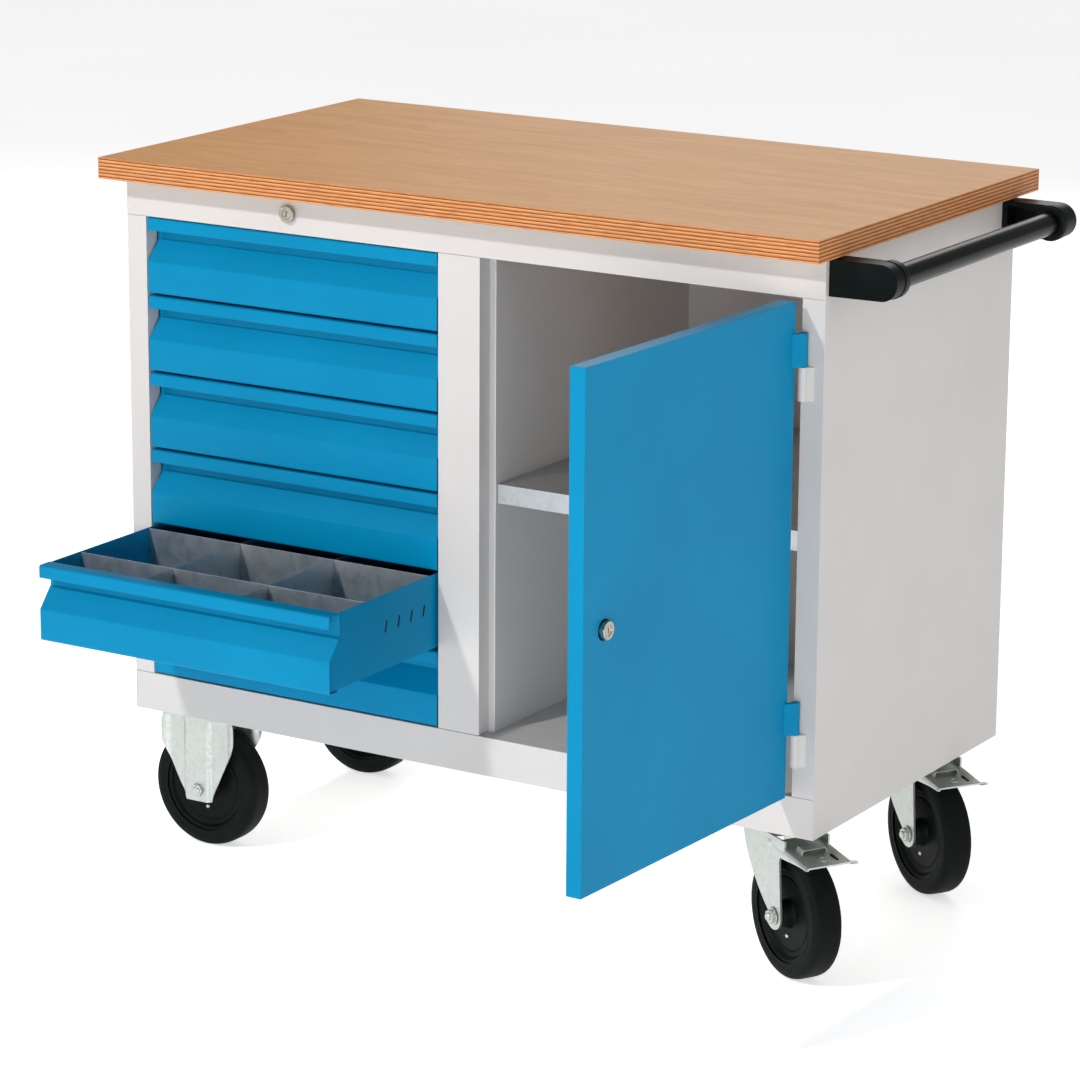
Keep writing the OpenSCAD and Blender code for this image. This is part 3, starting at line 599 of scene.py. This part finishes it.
def swivel_castor(corner):
    """A fork whose legs sweep back from a wide crown to a round end at the axle. Above the axle the
    rear edge sweeps out by a power of a sine of the height, and the front edge leans in evenly and
    widens by a smooth step at the crown. The front band stands 4.5 mm proud of the rear part."""
    crown_z, end_r, leg_out, bolt_out = 202, 19.0, 29.5, 36.5
    pivot = JOINTS[f"castor_{corner}_swivel"]["pos_m"]
    hub = JOINTS[f"right_wheel_{corner}_spin"]
    heading = Vector((hub["pos_m"][0] - pivot[0], hub["pos_m"][1] - pivot[1], 0))
    trail = heading.length / MM
    place = frame_at((pivot[0], pivot[1], 0), heading, (0, 0, 1))
    body = f"swivel_{corner}"
    node = f"swivel_fork_{corner}"
    softened(f"swivel_plate_{corner}", 0.8)
    pillow(f"{node}_crown", rounded_box(76, 64, 14) + (2, 0), 197, 203, 1.5, body, "zinc_plate",
           [node], place)
    z = np.concatenate([WHEEL_RADIUS - end_r * np.cos(np.linspace(0, np.pi / 2, 14)),
                        np.linspace(WHEEL_RADIUS + 2, crown_z, 46)])
    above = z - WHEEL_RADIUS
    round_part = np.sqrt(np.clip(end_r**2 - above**2, 0, None))
    rise = np.clip(above / (crown_z - WHEEL_RADIUS), 0, 1)
    sweep = end_r + 74 * np.sin(rise * 1.5) ** 0.85
    lean = end_r - 10 * rise + 16 * step(z, 168, 196)
    rear = trail - np.where(above < 0, round_part, sweep)
    front = trail + np.where(above < 0, round_part, lean)

    def bulge(x, height):
        crease = trail - 18 - 0.09 * (height - WHEEL_RADIUS)
        return 4.5 * step(x, crease, crease + 5)

    for side, label in SIDES:
        pressed_leg(f"{node}_leg_{label}", z, rear, front, bulge, side * leg_out, side, body,
                    place)
        middle = Vector((trail, side * bolt_out, WHEEL_RADIUS)) * MM
        bolt_head(f"swivel_axle_{corner}_{label}",
                  place @ frame_at(middle, (0, 0, 1), (0, side, 0)), body)
    brake_pedal(corner)


def brake_pedal(corner):
    """A pressed channel: flat between two down-turned walls that get lower towards the toe, with a
    flared, turned-up lip; across it runs a raised tab. Across the sheet, y rises evenly to 0.86 of
    the half width, goes round a quarter circle of 3 mm and then stays, while the sheet falls by
    the wall's height; a bell-shaped dish 1.5 mm deep lies in the flat part."""
    pivot = JOINTS[f"brake_{corner}_press"]
    swivel = JOINTS[f"castor_{corner}_swivel"]["pos_m"]
    heading = Vector((pivot["pos_m"][0] - swivel[0], pivot["pos_m"][1] - swivel[1], 0))
    place = frame_at(pivot["pos_m"], heading, (0, 0, 1))
    place = place @ Matrix.Rotation(math.radians(7), 4, "Y")
    body, node = f"pedal_{corner}", f"brake_pedal_{corner}"
    flat_share, corner_r = 0.86, 3.0
    x = np.linspace(8, 106, 50)[:, None]
    across = np.linspace(-1, 1, 49)[None, :]
    lip = step(x, 94, 106)
    wall = 15 - 11 * step(x, 10, 98)
    flat_half = 34.5 + 4.5 * lip
    drop = np.clip((np.abs(across) - flat_share) / (1 - flat_share), 0, 1)
    bend = np.clip(drop * 3, 0, 1) * np.pi / 2
    inner = flat_half - corner_r
    y = np.sign(across) * np.where(drop > 0, inner + corner_r * np.sin(bend),
                                   np.abs(across) / flat_share * inner)
    fall = corner_r * (1 - np.cos(bend))
    fall = fall + np.clip((drop - 1 / 3) * 1.5, 0, 1) * (wall - corner_r) * (1 - lip)
    dish = -1.5 * np.exp(-(((x - 58) / 26) ** 2)) * step(1 - np.abs(across), 0.25, 0.5)
    points = np.stack(np.broadcast_arrays(x, y, 4 + dish + 4 * lip**1.5 - fall), -1)
    piece = grid(f"{node}_channel", points, body, "zinc_plate", [node], place=place, angle=50)
    thicken(piece, 2.2)
    bevel(piece, 0.6, 1, 60)
    for side, label in SIDES:
        turned(f"{node}_rivet_{label}",
               [(0, -3), (4.5, -3), (6.0, 0.4), (5.4, 2.0), (3.2, 2.9), (0, 3.2)], body,
               "zinc_plate", (), pivot_frame(pivot, side, 33.5), 32)
        pillow(f"{node}_ear_{label}", rounded_box(36, 16, 7) + (7, -3), -1.3, 1.3, 0.6, body,
               "zinc_plate", (), place @ frame_at((0, side * 34.2 * MM, 0), (1, 0, 0), (0, -1, 0)))
    tab_line = filleted([(-24, -2.6), (-19, -2.6), (-17, 3.4), (17, 3.4), (19, -2.6), (24, -2.6)],
                        1.6)
    wide = np.linspace(-8, 8, 9)
    points = np.stack(np.broadcast_arrays(50 + wide[None, :], tab_line[:, :1],
                                          6.4 + tab_line[:, 1:]), -1)
    tab = grid(f"{node}_tab", points, body, "zinc_plate", (), place=place, angle=50)
    thicken(tab, 1.8)
    bevel(tab, 0.5, 1, 60)
    eye = place @ Matrix.Translation((0.080, 0, 0.0052))
    turned(f"{node}_eye_rim", [(4.2, -3), (4.2, 0.2), (5.0, 0.9), (6.6, 0.5), (7.2, -0.6)], body,
           "zinc_plate", (), eye, 40)
    # painted shade: a black disc sunk in the eye stands for the shade inside its hole
    turned(f"{node}_eye_painted_shade", [(0, -2.4), (4.3, -2.4), (4.3, -0.2)], body, "black_plastic", (),
           eye, 40)
    # painted shade: a dark black-plastic patch raised over the pedal's slot stands for the shade in its opening
    slot = place @ Matrix.Translation((0.078, 0.019, 0.0))
    pillow(f"{node}_slot", rounded_box(20, 4, 1.9), 3, 5.15, 0.1, body, "black_plastic", (), slot)


def pivot_frame(joint, side, out):
    """A frame on a pin's end: Z points outwards along the pin, out millimetres from its middle."""
    axis = Vector(joint["axis"]).normalized()
    origin = Vector(joint["pos_m"]) + axis * side * out * MM
    return frame_at(origin, (0, 0, 1), axis * side)


def castors():
    """Two fixed castors on the left, two swivel castors with brakes on the right; the screws."""
    for corner in CORNERS:
        fixed_castor(corner)
        wheel("left", corner, f"left_wheel_{corner}")
        wheel("right", corner, f"right_wheel_{corner}")
        swivel_castor(corner)
    for node in ("castor_bolts", "worktop_screws", "handle_screws"):
        softened(node, 0.5)


# ---------------------------------------------------------------- studio
def studio():
    """A flat pale floor, a white sky, one small bright lamp from the upper left front, and soft
    panels that fill the cupboard, the right side and the back."""
    world = bpy.data.worlds.new("studio")
    bpy.context.scene.world = world
    world.use_nodes = True
    world.node_tree.nodes["Background"].inputs["Color"].default_value = (1, 1, 1, 1)
    world.node_tree.nodes["Background"].inputs["Strength"].default_value = 0.33
    far = 30.0
    mesh = bpy.data.meshes.new("floor")
    mesh.from_pydata([(-far, -far, 0), (far, -far, 0), (far, far, 0), (-far, far, 0)], [],
                     [(0, 1, 2, 3)])
    floor = bpy.data.objects.new("floor", mesh)
    bpy.context.scene.collection.objects.link(floor)
    pale, tree, shader, place = new_material("pale_floor", Roughness=0.9)
    shade = noise(tree, place, 900, 2)
    tree.links.new(ramp(tree, shade, [(0.3, "#F8F8F8"), (0.7, "#FDFDFD")]),
                   shader.inputs["Base Color"])
    shader.inputs["Emission Color"].default_value = (1, 1, 1, 1)
    shader.inputs["Emission Strength"].default_value = 0.56
    mesh.materials.append(pale)
    aimed_at = Vector((0, 0, 0.5))
    panels = (("key", (-1.75, -5.1, 4.4), 0.35, 212), ("fill", (2.35, -4.9, 0.75), 1.2, 84),
              ("side", (4.8, -0.6, 2.6), 2.4, 26), ("back", (-1.5, 4.5, 3.0), 3.0, 60))
    for name, spot, size, power in panels:
        data = bpy.data.lights.new(name, "AREA")
        data.shape = "SQUARE"
        data.size = size
        data.energy = power
        light = bpy.data.objects.new(name, data)
        light.location = spot
        aim = aimed_at - Vector(spot)
        light.rotation_euler = aim.to_track_quat("-Z", "Y").to_euler()
        bpy.context.scene.collection.objects.link(light)
    bpy.context.scene.view_settings.view_transform = "Standard"


set_camera()
studio()
cabinet()
drawers()
locks()
handle()
castors()
for name, obj in frame["nodes"].items():
    if not obj.hide_render:
        obj.data.materials.clear()
        obj.data.materials.append(MATERIALS[SLOTS[name]])
